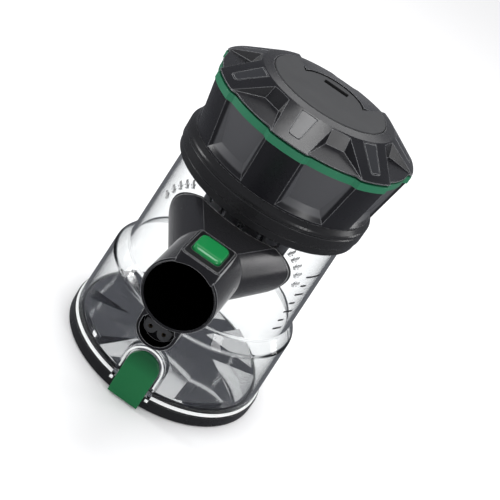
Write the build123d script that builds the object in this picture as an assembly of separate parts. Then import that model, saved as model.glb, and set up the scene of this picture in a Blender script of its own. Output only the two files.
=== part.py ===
"""A cyclone dust bin: a clear bin under a faceted twist cap, with a wand inlet and a drop-down base door.

Millimetres, +Z up. The origin is the middle of the base door's underside, and the inlet points along -Y.
An azimuth is measured from the front, -Y, and grows towards +X.
"""

import os
from math import acos, asin, cos, degrees, radians, sin, sqrt, tan

from build123d import *

# Clear bin: a wide foot, a slanted shoulder and a narrower neck
bin_height = 134.0
bin_wall = 2.0
foot_radius = 58.4
foot_flange_lip = 0.8
foot_flange_height = 1.6
knee_inset = 1.7
knee_height = 51.2
shoulder_inset = 5.2
shoulder_rise = 7.4
shoulder_round = 2.0
neck_inset = 2.1

# Base door
door_lip = 1.6
door_plate = 3.0
door_height = 7.0
door_chamfer = 0.8
spigot_inset = 1.8
spigot_wall = 2.2
spigot_rise = 1.4
floor_thickness = 2.0
floor_skirt_depth = 3.0
floor_skirt_wall = 2.0
vane_count = 8
vane_height = 4.2
vane_root = 0.5
vane_rim_inset = 1.2
vane_tip_radius = 27.0
vane_sweep_deg = 34.0
vane_first_deg = 12.0
seal_height = 2.0
seal_chamfer = 0.5

# Hinge at the back
hinge_offset = 3.0
hinge_height = 5.0
hinge_barrel = 3.0
hinge_root = 3.0
hinge_step = 1.0
knuckle_half = 6.6
ear_width = 4.2
ear_root = 2.0

# Latch on the front, its guard and pin
latch_half_width = 9.3
latch_low = 1.0
latch_height = 33.5
latch_pin_offset = 1.2
latch_pin_rise = 11.5
latch_barrel = 2.5
latch_front = 3.4
latch_back = 0.7
latch_foot_lean = 1.7
latch_toe_lean = 0.5
latch_toe_height = 4.0
latch_belly_rise = 10.0
latch_belly_lean = 0.3
latch_tip_lean = 1.6
latch_step_drop = 4.0
latch_step_slope = 1.5
latch_nose_back = 1.0
latch_nose_height = 3.0
latch_nose_chamfer = 0.6
latch_slot_half = 3.4
guard_gap = 1.1
guard_wall = 1.9
guard_front = 0.8
guard_root = 4.0
guard_rise = 1.6
pin_radius = 1.25
pin_chamfer = 0.3
latch_coil_turns = 4.5
latch_coil_gap = 0.2
latch_coil_space = 0.25
latch_coil_leg = 8.5

# Collar round the neck, and the ring that the cap locks into
collar_wall = 5.4
collar_depth = 11.9
collar_step_height = 4.9
collar_step_inset = 0.9
collar_foot_chamfer = 0.8
tier_groove = 0.5
lock_ring_sink = 0.4
lock_ring_height = 4.6
lock_ring_round = 2.4
lock_ring_fillet = 1.44
tab_count = 3
tab_height = 2.0
tab_width_deg = 16.0
tab_gap_deg = 1.0
twist_deg = 25.0
ledge_height = 1.6
ledge_inset = 0.2
channel_depth = 2.0

# Twist cap
cap_foot_inset = 2.4
cap_foot_lip = 1.3
cap_foot_flare = 0.2
cap_height = 28.5
pocket_low_inset = 2.4
pocket_low_rise = 7.5
shoulder_flare = 4.8
pocket_high_inset = 1.9
cap_wall = 2.6
cap_ceiling = 3.0
cap_skirt_depth = 8.0
cap_skirt_wall = 2.4
cap_seal_depth = 1.0
cap_seal_height = 2.4
cap_seal_rise = 4.0
exhaust_radius = 30.0
lug_count = 7
lug_half_width = 10.0
lug_slope = 0.78
lug_reach = 2.0
lug_root = 8.0

# Green band and crown
band_height = 3.9
band_lip = 0.6
band_pocket_lip = 0.2
band_wall = 3.5
band_seat_wall = 2.0
shadow_gap = 1.1
shadow_depth = 2.5
crown_rise = 12.7
crown_edge_inset = 0.3
crown_edge_wall = 0.5
crown_ring_wall = 6.0
crown_ring_crest = 1.0
crown_floor_edge_inset = 0.3
crown_floor_edge_rise = 0.4
crown_floor_rise = 5.1
crown_pocket_foot = 3.6
crown_pocket_lip = 1.0
crown_pocket_half = 5.2
crown_hollow_lip = 1.3
crown_roof = 3.0

# Disc in the middle of the crown
disc_radius = 32.7
disc_height = 3.0
disc_rise = 1.4
disc_chamfer = 0.4
slot_length = 14.6
slot_width = 5.4
slot_round = 0.8
slot_back = 10.7

# Scoop behind the slot, where the crown runs in as far as an arc and falls away to the rear
scoop_radius = 19.3
scoop_lip = 0.6
scoop_fall_deg = 12.5
scoop_half_width = 14.2
scoop_flare_deg = 26.0

# Pads let into the lugs
pad_inner_gap = 0.8
pad_outer_gap = 4.1
pad_inner_width = 8.8
pad_outer_width = 6.2
pad_thickness = 0.8
pad_round = 1.6

# Inlet duct: a round tube that forks into two wings joined by a flat web
tube_drop = 20.6
tube_bore_radius = 16.9
tube_wall = 1.8
tube_length = 38.5
seat_step = 0.9
fork_offset = 21.6
wing_side_inset = 2.4
chest_half_height = 15.9
chest_wall = 1.8
gasket_thickness = 0.8

# Button housing on the tube
housing_half_width = 10.6
housing_lip = 1.0
housing_length = 27.7
housing_rise = 21.0
housing_round = 2.6
bezel_rim = 0.9
bezel_sink = 0.55
bezel_thickness = 0.8
button_half_width = 7.5
button_setback = 5.9
button_length = 16.7
button_proud = 2.4
button_corner = 2.4
button_round = 1.5
button_flange = 1.0
button_flange_height = 0.75
button_flange_corner = 2.0
button_shell = 1.7
button_shell_corner = 1.0
button_travel = 1.6
spring_wire = 0.35
button_spring_radius = 3.2
button_spring_turns = 3.5

# Connector under the mouth
lobe_half_width = 10.4
lobe_drop = 21.9
lobe_length = 23.5
lobe_point = 8.0
lobe_heel = 6.0
lobe_wall = 1.7
lobe_overlap = 4.0
socket_depth = 6.0
socket_web = 0.4
socket_boss_radius = 3.4
socket_spacing = 7.5
socket_drop = 1.6
socket_proud = 3.5
socket_bridge_rise = 3.4
terminal_radius = 1.2
terminal_wall = 0.4
terminal_sink = 0.8

# Teeth moulded on the wall: way round the wall from the wing's side, and height above the tube's middle
tooth_places = ((-10.0, 15.1), (-6.1, 12.1), (-2.2, 8.1), (1.2, 3.1), (3.8, -2.9))
tooth_height = 5.0
tooth_width = 2.6
tooth_proud = 0.9

# Cyclone separator and filter, carried inside the cap
deck_thickness = 2.0
deck_spigot_wall = 2.0
deck_spigot_height = 3.0
deck_ledge = 2.0
shroud_radius = 27.0
shroud_wall = 1.6
shroud_height = 42.0
shroud_slot_columns = 14
shroud_slot_rows = 2
shroud_slot_width = 3.4
shroud_slot_height = 15.0
shroud_band = 3.5
shroud_foot_radius = 30.0
shroud_foot_height = 2.4
shroud_foot_edge = 0.8
screen_thickness = 0.6
filter_room = 2.7
filter_core_wall = 2.0
filter_end_height = 2.4
filter_post_half = 1.5
filter_post_count = 4
pleat_count = 30
pleat_inset = 1.0
pleat_depth = 9.0
pleat_paper = 1.4
foam_thickness = 3.15

# Clearances
running_gap = 0.05
moving_gap = 0.3
tab_clearance = 0.3
door_gap = 0.3
loose_gap = 0.15
stop_gap = 0.2
pocket_gap = 0.4
groove_gap = 0.5

# How far a cutting shape runs past what it cuts
overrun = 1.0
far = 400.0

# Heights and radii that follow from the sizes above
bin_low = door_height + door_gap
bin_inner_foot = foot_radius - bin_wall
knee_radius = foot_radius - knee_inset
waist_radius = knee_radius - shoulder_inset
waist_height = knee_height + shoulder_rise
neck_radius = waist_radius - neck_inset
neck_bore = neck_radius - bin_wall

door_radius = foot_radius + door_lip
spigot_radius = bin_inner_foot - spigot_inset
spigot_height = door_height + spigot_rise
floor_top = spigot_height + floor_thickness
hinge_reach = door_radius + hinge_offset

latch_high = latch_low + latch_height
latch_pin_height = latch_low + latch_pin_rise
latch_pin_reach = door_radius + latch_pin_offset
latch_face_reach = latch_pin_reach + latch_front
latch_back_reach = latch_pin_reach + latch_back
guard_reach = latch_pin_reach + guard_front
guard_half_width = latch_half_width + guard_gap

collar_radius = neck_radius + collar_wall
collar_low = bin_height - collar_depth
lock_ring_low = bin_height - lock_ring_sink
lock_ring_high = lock_ring_low + lock_ring_height

cap_low = lock_ring_high + moving_gap
cap_foot_radius = collar_radius - cap_foot_inset
shoulder_height = cap_low + cap_height
shoulder_radius = cap_foot_radius + shoulder_flare
pocket_low_radius = cap_foot_radius - pocket_low_inset
pocket_low_height = cap_low + pocket_low_rise
pocket_high_radius = shoulder_radius - pocket_high_inset
ceiling_low = shoulder_height - cap_ceiling
cap_skirt_low = bin_height - cap_skirt_depth
skirt_radius = neck_bore - moving_gap
skirt_bore = skirt_radius - cap_skirt_wall
cap_seal_low = cap_skirt_low + cap_seal_rise

band_low = shoulder_height
band_high = band_low + band_height
band_radius = shoulder_radius + band_lip
band_pocket_radius = pocket_high_radius + band_pocket_lip
band_seat_radius = band_pocket_radius - band_wall
crown_low = band_high
crown_edge_radius = band_radius - crown_edge_inset
crown_edge_height = crown_low + shadow_gap + crown_edge_wall
crown_ring_radius = disc_radius + crown_ring_wall
crown_ring_height = crown_low + crown_rise
crown_floor_edge_radius = band_pocket_radius - crown_floor_edge_inset
crown_floor_edge_height = crown_low + shadow_gap + crown_floor_edge_rise
crown_floor_radius = crown_ring_radius + crown_pocket_foot
crown_floor_height = crown_low + crown_floor_rise
crown_pocket_top_radius = crown_ring_radius + crown_pocket_lip
disc_high = crown_ring_height + disc_rise
disc_low = disc_high - disc_height
crown_fall = (crown_ring_height - crown_edge_height) / (crown_edge_radius - crown_ring_radius)
scoop_high = disc_high + scoop_lip
scoop_fall = tan(radians(scoop_fall_deg))
scoop_top = scoop_high + scoop_fall * scoop_radius
scoop_end = (crown_ring_height + crown_fall * crown_ring_radius - scoop_top) / (crown_fall - scoop_fall)
pad_inner_radius = crown_ring_radius + pad_inner_gap
pad_outer_radius = crown_edge_radius - pad_outer_gap

tube_height = collar_low - tube_drop
tube_radius = tube_bore_radius + tube_wall
fork_reach = neck_radius + fork_offset
mouth_reach = fork_reach + tube_length
wing_side_reach = neck_radius - wing_side_inset
wing_angle = asin((wing_side_reach - tube_radius) / fork_reach)
wing_turn_deg = degrees(wing_angle)
wing_side_deg = 90.0 - wing_turn_deg - degrees(acos(wing_side_reach / neck_radius))
chest_high = tube_height + chest_half_height
web_low = tube_height - chest_half_height
housing_front = mouth_reach + housing_lip
housing_back = housing_front - housing_length
housing_high = tube_height + housing_rise
bezel_seat = housing_high - bezel_sink
button_front = housing_front - button_setback
button_back = button_front - button_length
button_low = bezel_seat - button_flange_height - stop_gap
button_high = housing_high + button_proud
button_floor = button_low - button_travel - stop_gap
lobe_centre = tube_height - lobe_drop
lobe_back = mouth_reach - lobe_length
socket_centre = lobe_centre - socket_drop
socket_back = mouth_reach - socket_depth

deck_low = cap_skirt_low - deck_thickness
shroud_low = deck_low - shroud_height
filter_radius = skirt_bore - filter_room
filter_low = cap_skirt_low + filter_end_height
filter_high = ceiling_low - filter_end_height
pleat_radius = filter_radius - pleat_inset
foam_radius = pleat_radius - pleat_depth - pleat_paper - moving_gap
filter_core_radius = foam_radius - foam_thickness - loose_gap

LOW = (Align.CENTER, Align.CENTER, Align.MIN)


def place(azimuth, radius, height):
    """A point at an azimuth in degrees from the front."""
    turn = radians(azimuth)
    return (radius * sin(turn), -radius * cos(turn), height)


def turned(points):
    """A solid turned about the vertical axis from (radius, height) points."""
    outline = Polyline([(radius, 0, height) for radius, height in points], close=True)
    return revolve(make_face(outline), Axis.Z)


def disc(radius, low, high):
    """A plain upright cylinder between two heights."""
    return Pos(0, 0, low) * Cylinder(radius, high - low, align=LOW)


def ring(outer, inner, low, high):
    """A plain upright ring between two heights."""
    return disc(outer, low, high) - disc(inner, low, high)


def slab(x0, x1, y0, y1, z0, z1):
    """A plain block between two corners."""
    return Pos((x0 + x1) / 2, (y0 + y1) / 2, (z0 + z1) / 2) * Box(x1 - x0, y1 - y0, z1 - z0)


def rounded_slab(half_width, front, back, low, high, corner):
    """A block over the tube with its four upright edges rounded."""
    outline = RectangleRounded(2 * half_width, front - back, corner)
    return Pos(0, -(front + back) / 2, low) * extrude(outline, high - low)


def arch(half_width, low, high, front, back):
    """An upright slab across the front, flat at its foot and round at its top."""
    spring_line = high - half_width
    post = slab(-half_width, half_width, -front, -back, low, spring_line)
    top = Pos(0, -(front + back) / 2, spring_line) * Rot(90, 0, 0) * Cylinder(half_width, front - back)
    return post + top


def rod(radius, half_length, reach, height):
    """A rod across the part, along X, at a reach towards the back and a height."""
    return Pos(0, reach, height) * Rot(0, 90, 0) * Cylinder(radius, 2 * half_length)


def around(shape, count, first=0.0):
    """Copies of a shape at even steps round the vertical axis."""
    return [Rot(0, 0, first + 360.0 / count * step) * shape for step in range(count)]


def beyond(first, second, third):
    """All of the space on one side of the plane through three points."""
    corner = Vector(first)
    normal = (Vector(second) - corner).cross(Vector(third) - corner)
    return Plane(corner, z_dir=normal) * Box(far, far, far, align=LOW)


def near_height(shape, height):
    """The round edges of a turned shape at one height."""
    rounds = shape.edges().filter_by(GeomType.CIRCLE)
    return rounds.filter_by(lambda edge: abs(edge.center().Z - height) < 0.01)


def bin_envelope(offset, low, high):
    """The bin's outer form as a solid, grown by an offset, between two heights."""
    form = turned(
        [
            (0, low),
            (foot_radius + offset, low),
            (knee_radius + offset, knee_height),
            (waist_radius + offset, waist_height),
            (neck_radius + offset, collar_low),
            (neck_radius + offset, high),
            (0, high),
        ]
    )
    return fillet(near_height(form, knee_height) + near_height(form, waist_height), shoulder_round)


def duct_form(radius, low, high):
    """The tube, its fork and both wings as one solid, cut flat between two heights behind the housing."""
    fork = Pos(0, -fork_reach, tube_height)
    tube = Pos(0, -(mouth_reach + fork_reach) / 2, tube_height) * Rot(90, 0, 0) * Cylinder(
        radius, mouth_reach - fork_reach
    )
    wing = Rot(-90, 0, 0) * Cylinder(radius, fork_reach, align=LOW)
    wings = [fork * Rot(0, 0, turn) * wing for turn in (wing_turn_deg, -wing_turn_deg)]
    tip = fork_reach * sin(wing_angle)
    reach = fork_reach * cos(wing_angle) - fork_reach
    web_plan = make_face(Polyline((0, -fork_reach), (tip, reach), (-tip, reach), close=True))
    web = Pos(0, 0, low) * extrude(web_plan, high - low)
    form = tube + wings + fork * Sphere(radius) + web
    return form - slab(-far, far, -housing_back, far, high, high + far)


def make_duct_passage():
    """The air space inside the duct: the wand's round seat, then a narrower fork, flat above and below."""
    low, high = web_low + chest_wall, chest_high - chest_wall
    fork = duct_form(tube_bore_radius - seat_step, low, high) - slab(-far, far, -housing_back, far, -far, low)
    seat = Pos(0, -(mouth_reach + housing_back) / 2, tube_height) * Rot(90, 0, 0) * Cylinder(
        tube_bore_radius, mouth_reach - housing_back
    )
    return fork + seat


duct_passage = make_duct_passage()


def make_tooth(side, way, foot):
    """One small pointed tooth standing proud of the bin wall, beside one wing."""
    share = (foot - waist_height) / (collar_low - waist_height)
    wall = waist_radius + (neck_radius - waist_radius) * share - bin_wall / 2
    half = tooth_width / 2
    points = [
        (-half, -wall, foot),
        (half, -wall, foot),
        (0, -wall, foot + tooth_height),
        (-half, -wall - bin_wall / 2 - tooth_proud, foot),
        (half, -wall - bin_wall / 2 - tooth_proud, foot),
    ]
    return Rot(0, 0, side * (wing_side_deg + degrees(way / neck_radius))) * ConvexPolyhedron(points)


def make_latch_guard():
    """The clear arch round the latch, with holes for the latch pin."""
    root = knee_radius - guard_root
    outer = arch(
        guard_half_width + guard_wall, bin_low, latch_high + guard_rise + guard_wall, guard_reach, root
    )
    inner = arch(guard_half_width, bin_low, latch_high + guard_rise, guard_reach, root)
    return outer - inner - rod(pin_radius, far, -latch_pin_reach, latch_pin_height)


def make_hinge_ears():
    """Two ears at the back of the bin, either side of the door's knuckle."""
    inside = knuckle_half + moving_gap
    ear_high = bin_low + hinge_barrel
    barrel = rod(hinge_barrel, ear_width / 2, hinge_reach, hinge_height)
    post = slab(
        -ear_width / 2, ear_width / 2, foot_radius - ear_root, hinge_reach + hinge_barrel, bin_low, ear_high
    )
    hold = slab(
        -ear_width / 2, ear_width / 2, hinge_reach, hinge_reach + hinge_barrel, hinge_height, ear_high
    )
    hole = rod(pin_radius, ear_width, hinge_reach, hinge_height)
    ear = barrel + post + hold - hole
    return [Pos(side * (inside + ear_width / 2), 0, 0) * ear for side in (-1, 1)]


def make_dust_bin():
    """The clear bin, open at both ends, with a window where the inlet duct sits."""
    outside = bin_envelope(0, bin_low, bin_height)
    flange = disc(foot_radius + foot_flange_lip, bin_low, bin_low + foot_flange_height)
    teeth = [make_tooth(side, way, tube_height + rise) for way, rise in tooth_places for side in (-1, 1)]
    shell = outside + flange + make_latch_guard() + make_hinge_ears() + teeth
    return shell - bin_envelope(-bin_wall, bin_low, bin_height) - duct_passage


def make_base_door():
    """The black door: a flat plate, a deep rim, a spigot for the seal and the hinge knuckle."""
    plate = disc(door_radius, 0, door_plate)
    rim = ring(door_radius, spigot_radius - spigot_wall, door_plate, door_height)
    spigot = ring(spigot_radius, spigot_radius - spigot_wall, door_height, spigot_height)
    knuckle = rod(hinge_barrel, knuckle_half, hinge_reach, hinge_height)
    web_front, web_low_edge = door_radius - hinge_root, hinge_height - hinge_barrel
    web = slab(-knuckle_half, knuckle_half, web_front, hinge_reach, web_low_edge, door_height - hinge_step)
    hole = rod(pin_radius + running_gap, far, hinge_reach, hinge_height)
    door = plate + rim + spigot + knuckle + web - hole
    lower_edge = door.edges().filter_by(GeomType.CIRCLE).filter_by(
        lambda edge: abs(edge.radius - door_radius) < 0.01 and edge.center().Z < 0.01
    )
    return chamfer(lower_edge, door_chamfer)


def make_floor_plate():
    """The dark floor that snaps into the door, with ramps that turn the dust."""
    edge = spigot_radius - loose_gap
    plate = disc(edge, spigot_height, floor_top)
    skirt_outer = spigot_radius - spigot_wall - loose_gap
    skirt_low = spigot_height - floor_skirt_depth
    skirt = ring(skirt_outer, skirt_outer - floor_skirt_wall, skirt_low, spigot_height)
    rim = edge - vane_rim_inset
    outside = rim / cos(radians(vane_sweep_deg / 2)) + overrun
    root = floor_top - vane_root
    ramp = ConvexPolyhedron(
        [
            place(0, vane_tip_radius, floor_top),
            place(0, outside, root),
            place(0, outside, floor_top + vane_height),
            place(0, vane_tip_radius, root),
            place(-vane_sweep_deg, outside, floor_top),
            place(-vane_sweep_deg, outside, root),
        ]
    )
    ramps = [ramp_at & disc(rim, 0, collar_low) for ramp_at in around(ramp, vane_count, vane_first_deg)]
    return plate + skirt + ramps


def make_door_seal():
    """A rubber ring round the spigot, resting on the rim."""
    outer = bin_inner_foot - moving_gap
    seal = ring(outer, spigot_radius, door_height, door_height + seal_height)
    upper_edges = near_height(seal, door_height + seal_height).sort_by(lambda edge: edge.radius)
    return chamfer(upper_edges[-1:], seal_chamfer)


def make_door_latch():
    """The green latch: a curved paddle with an arched top, hung on its pin."""
    belly = latch_pin_height + latch_belly_rise
    step_high = latch_pin_height - latch_step_drop
    step_back = door_radius + latch_nose_back
    nose_high = latch_low + latch_nose_height
    nose = door_radius + moving_gap
    profile = make_face(
        Polyline(
            (0, -latch_face_reach + latch_foot_lean, latch_low),
            (0, -latch_face_reach + latch_toe_lean, latch_low + latch_toe_height),
            (0, -latch_face_reach, latch_pin_height),
            (0, -latch_face_reach + latch_belly_lean, belly),
            (0, -latch_face_reach + latch_tip_lean, latch_high),
            (0, -latch_back_reach + latch_belly_lean, latch_high),
            (0, -latch_back_reach, belly),
            (0, -latch_back_reach, step_high),
            (0, -step_back, step_high - latch_step_slope),
            (0, -step_back, nose_high),
            (0, -nose, nose_high - latch_nose_chamfer),
            (0, -nose, latch_low),
            close=True,
        )
    )
    paddle = extrude(profile, latch_half_width, dir=(1, 0, 0), both=True)
    front, back = latch_face_reach + overrun, door_radius - overrun
    paddle = paddle & arch(latch_half_width, latch_low, latch_high, front, back)
    barrel = rod(latch_barrel, latch_half_width, -latch_pin_reach, latch_pin_height)
    slot = rod(latch_barrel + moving_gap, latch_slot_half, -latch_pin_reach, latch_pin_height)
    bore = rod(pin_radius + running_gap, far, -latch_pin_reach, latch_pin_height)
    return paddle + barrel - slot - bore


def make_pin(half_length, reach, height):
    """A plain steel pin with chamfered ends."""
    pin = rod(pin_radius, half_length, reach, height)
    return chamfer(pin.edges().filter_by(GeomType.CIRCLE), pin_chamfer)


def make_latch_spring():
    """A coil on the latch pin with one leg up the bin wall."""
    mean = pin_radius + latch_coil_gap + spring_wire
    pitch = 2 * spring_wire + latch_coil_space
    height = pitch * latch_coil_turns
    path = Helix(pitch, height, mean)
    wire = sweep(Plane(path @ 0, z_dir=path % 0) * Circle(spring_wire), path, is_frenet=True)
    seat = Pos(-height / 2, -latch_pin_reach, latch_pin_height) * Rot(0, 90, 0) * Rot(0, 0, 90)
    start = seat * Pos(path @ 0)
    leg = Pos(start.position) * Cylinder(spring_wire, latch_coil_leg, align=LOW)
    return seat * wire + leg


def make_inlet_duct():
    """The black duct with the button housing above and the connector lobe below."""
    outside = duct_form(tube_radius, web_low, chest_high)
    housing = rounded_slab(
        housing_half_width, housing_front, housing_back, tube_height, housing_high, housing_round
    )
    lobe_radius = lobe_half_width
    lobe_plan = make_face(
        Polyline(
            (-lobe_radius, -mouth_reach),
            (lobe_radius, -mouth_reach),
            (lobe_radius, -lobe_back),
            (0, -lobe_back + lobe_point),
            (-lobe_radius, -lobe_back),
            close=True,
        )
    )
    lobe_top = tube_height - tube_bore_radius + lobe_overlap
    depth = lobe_length + lobe_point
    profile = Pos(0, -mouth_reach + depth / 2, lobe_centre) * Rot(90, 0, 0) * Cylinder(lobe_radius, depth)
    profile += slab(-lobe_radius, lobe_radius, -mouth_reach, -mouth_reach + depth, lobe_centre, lobe_top)
    lobe = profile & extrude(lobe_plan, collar_low)
    under = beyond(
        (0, -lobe_back - lobe_heel, lobe_centre - lobe_radius),
        (1, -lobe_back - lobe_heel, lobe_centre - lobe_radius),
        (0, -lobe_back + lobe_point, tube_height - tube_radius + overrun),
    )
    lobe = lobe & under
    recess_radius = lobe_radius - lobe_wall
    recess_middle = -(mouth_reach + socket_back) / 2
    recess_high = tube_height - tube_radius - socket_web
    recess = Pos(0, recess_middle, lobe_centre) * Rot(90, 0, 0) * Cylinder(recess_radius, socket_depth)
    recess += slab(-recess_radius, recess_radius, -mouth_reach, -socket_back, lobe_centre, recess_high)
    mouth = Pos(0, -mouth_reach, tube_height) * Rot(90, 0, 0) * Cylinder(tube_bore_radius, 2 * housing_lip)
    upper_pocket = rounded_slab(
        housing_half_width - bezel_rim,
        housing_front - bezel_rim,
        housing_back + bezel_rim,
        bezel_seat,
        housing_high + overrun,
        housing_round - bezel_rim,
    )
    lower_pocket = rounded_slab(
        button_half_width + button_flange + pocket_gap,
        button_front + button_flange + pocket_gap,
        button_back - button_flange - pocket_gap,
        button_floor,
        bezel_seat,
        button_flange_corner,
    )
    duct = outside + housing + lobe - mouth - duct_passage - recess - upper_pocket - lower_pocket
    return duct - bin_envelope(gasket_thickness, bin_low, bin_height)


def make_duct_gasket():
    """A thin gasket between the duct's saddle and the bin wall."""
    saddle = duct_form(tube_radius, web_low, chest_high) - duct_passage
    shell = bin_envelope(gasket_thickness, bin_low, bin_height) - bin_envelope(0, bin_low, bin_height)
    return (saddle & shell).solids().sort_by(Axis.Y)[0]


def make_button_bezel():
    """The frame that traps the button's flange in the housing."""
    rim = bezel_rim + loose_gap
    frame = rounded_slab(
        housing_half_width - rim,
        housing_front - rim,
        housing_back + rim,
        bezel_seat,
        bezel_seat + bezel_thickness,
        housing_round - bezel_rim,
    )
    hole = rounded_slab(
        button_half_width + moving_gap,
        button_front + moving_gap,
        button_back - moving_gap,
        bezel_seat,
        bezel_seat + bezel_thickness,
        button_corner,
    )
    return frame - hole


def make_release_button():
    """The green button: a hollow domed cap on a thin flange."""
    body = rounded_slab(button_half_width, button_front, button_back, button_low, button_high, button_corner)
    body = fillet(body.faces().sort_by(Axis.Z)[-1].edges(), button_round)
    flange = rounded_slab(
        button_half_width + button_flange,
        button_front + button_flange,
        button_back - button_flange,
        button_low,
        button_low + button_flange_height,
        button_flange_corner,
    )
    hollow = rounded_slab(
        button_half_width - button_shell,
        button_front - button_shell,
        button_back + button_shell,
        button_low,
        button_high - button_shell,
        button_shell_corner,
    )
    return body + flange - hollow


def make_button_spring():
    """The coil that lifts the button."""
    room = button_high - button_shell - button_floor
    pitch = (room - 2 * spring_wire) / button_spring_turns
    path = Helix(pitch, room - 2 * spring_wire, button_spring_radius)
    wire = sweep(Plane(path @ 0, z_dir=path % 0) * Circle(spring_wire), path, is_frenet=True)
    return Pos(0, -(button_front + button_back) / 2, button_floor + spring_wire) * wire


def make_connector_socket():
    """The grey insert with two sockets, on the back wall of the recess."""
    front = socket_back + socket_proud
    half = socket_spacing / 2
    ends = [Pos(side * half, -(front + socket_back) / 2, socket_centre) * Rot(90, 0, 0) for side in (-1, 1)]
    bosses = [end * Cylinder(socket_boss_radius, socket_proud) for end in ends]
    holes = [end * Cylinder(terminal_radius, socket_proud) for end in ends]
    width = half + socket_boss_radius
    bridge = slab(-width, width, -front, -socket_back, socket_centre, socket_centre + socket_bridge_rise)
    return bridge + bosses - holes


def make_connector_terminals():
    """Two brass sleeves down the sockets."""
    length = socket_proud - terminal_sink
    middle = -socket_back - length / 2
    sleeve = Cylinder(terminal_radius, length) - Cylinder(terminal_radius - terminal_wall, length)
    half = socket_spacing / 2
    return [Pos(side * half, middle, socket_centre) * Rot(90, 0, 0) * sleeve for side in (-1, 1)]


def make_bin_collar():
    """The lower two tiers of the collar, bonded to the neck."""
    step = collar_low + collar_step_height
    lower = collar_radius - collar_step_inset
    return turned(
        [
            (neck_radius, collar_low),
            (lower - collar_foot_chamfer, collar_low),
            (lower, collar_low + collar_foot_chamfer),
            (lower, step - tier_groove),
            (lower - tier_groove, step),
            (collar_radius, step + tier_groove),
            (collar_radius, lock_ring_low - tier_groove),
            (collar_radius - tier_groove, lock_ring_low),
            (neck_radius, lock_ring_low),
        ]
    )


def make_lock_ring():
    """The top tier: a channel for the cap's tabs under a ledge with three gaps."""
    channel = neck_radius + channel_depth
    ledge = neck_radius + ledge_inset
    ledge_low = lock_ring_high - ledge_height
    section = make_face(
        Polyline(
            (neck_radius, 0, lock_ring_low),
            (collar_radius - tier_groove, 0, lock_ring_low),
            (collar_radius, 0, lock_ring_low + tier_groove),
            (collar_radius, 0, lock_ring_high - lock_ring_round),
            (cap_foot_radius, 0, lock_ring_high),
            (ledge, 0, lock_ring_high),
            (ledge, 0, ledge_low),
            (channel, 0, ledge_low),
            (channel, 0, bin_height),
            (neck_radius, 0, bin_height),
            close=True,
        )
    )
    shoulder = lock_ring_high - lock_ring_round
    corner = section.vertices().filter_by(lambda vertex: abs(vertex.Z - shoulder) < 0.01)
    body = revolve(fillet(corner, lock_ring_fillet), Axis.Z)
    gap_half = tab_width_deg / 2 + tab_gap_deg
    gap_low, gap_high = ledge_low - stop_gap, lock_ring_high + overrun
    gap = wedge(gap_half, ledge - overrun, channel - tab_clearance / 2, gap_low, gap_high)
    return body - around(gap, tab_count, twist_deg)


def wedge(half_angle, inner, outer, low, high):
    """A sector of a ring centred on the front."""
    sweep_face = make_face(
        Polyline(
            place(-half_angle, inner, low),
            place(-half_angle, outer, low),
        )
        + ThreePointArc(place(-half_angle, outer, low), place(0, outer, low), place(half_angle, outer, low))
        + Polyline(place(half_angle, outer, low), place(half_angle, inner, low))
        + ThreePointArc(place(half_angle, inner, low), place(0, inner, low), place(-half_angle, inner, low))
    )
    return extrude(sweep_face, high - low, dir=(0, 0, 1))


def lugs(bottom, top, bottom_radius, top_radius):
    """Upright wedges that carry the lugs' slanted sides through a stretch of the cap."""
    points = []
    for height, radius in ((bottom, bottom_radius), (top, top_radius)):
        edge = sqrt(radius**2 - lug_half_width**2)
        for depth in (-lug_reach, lug_root):
            half = lug_half_width + lug_slope * depth
            points += [(side * half, depth - edge, height) for side in (-1, 1)]
    return around(ConvexPolyhedron(points), lug_count)


def make_cap_body():
    """The flared side of the cap, with a pocket between each pair of lugs."""
    outside = turned(
        [(0, cap_low), (cap_foot_radius, cap_low), (shoulder_radius, shoulder_height), (0, shoulder_height)]
    )
    core = turned(
        [
            (0, cap_low),
            (cap_foot_radius, cap_low),
            (cap_foot_radius + cap_foot_flare, cap_low + cap_foot_lip),
            (pocket_low_radius, pocket_low_height),
            (pocket_high_radius, shoulder_height),
            (0, shoulder_height),
        ]
    )
    sides = [outside & lug for lug in lugs(cap_low, shoulder_height, cap_foot_radius, shoulder_radius)]
    skirt = disc(skirt_radius, cap_skirt_low, cap_low)
    seat = disc(band_seat_radius, shoulder_height, band_high)
    hollow = turned(
        [
            (0, cap_skirt_low),
            (skirt_bore, cap_skirt_low),
            (skirt_bore, cap_low + cap_foot_lip),
            (pocket_low_radius - cap_wall, pocket_low_height),
            (pocket_high_radius - cap_wall, ceiling_low),
            (0, ceiling_low),
        ]
    )
    upper_hollow = disc(band_seat_radius - band_seat_wall, shoulder_height, band_high)
    exhaust = disc(exhaust_radius, ceiling_low, shoulder_height)
    tab_low = bin_height + moving_gap
    tab_reach = neck_radius + channel_depth - tab_clearance
    tab = wedge(tab_width_deg / 2, skirt_radius - overrun, tab_reach, tab_low, tab_low + tab_height)
    groove = ring(far, skirt_radius - cap_seal_depth, cap_seal_low, cap_seal_low + cap_seal_height)
    return core + sides + (skirt - groove) + seat + around(tab, tab_count) - hollow - upper_hollow - exhaust


def make_green_band():
    """The green band: a ring whose outer edge steps in between the lugs."""
    core = disc(band_pocket_radius, band_low, band_high)
    outside = disc(band_radius, band_low, band_high)
    steps = [outside & lug for lug in lugs(band_low, band_high, band_radius, band_radius)]
    return core + steps - disc(band_seat_radius + loose_gap, band_low, band_high)


def crown_slope(drop, low=crown_low):
    """The crown's cone, lowered by a drop, as a solid down to a height."""
    return turned(
        [
            (0, low),
            (crown_edge_radius, low),
            (crown_edge_radius, crown_edge_height - drop),
            (crown_ring_radius, crown_ring_height - drop),
            (disc_radius, crown_ring_height + crown_ring_crest - drop),
            (0, crown_ring_height + crown_ring_crest - drop),
        ]
    )


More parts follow.
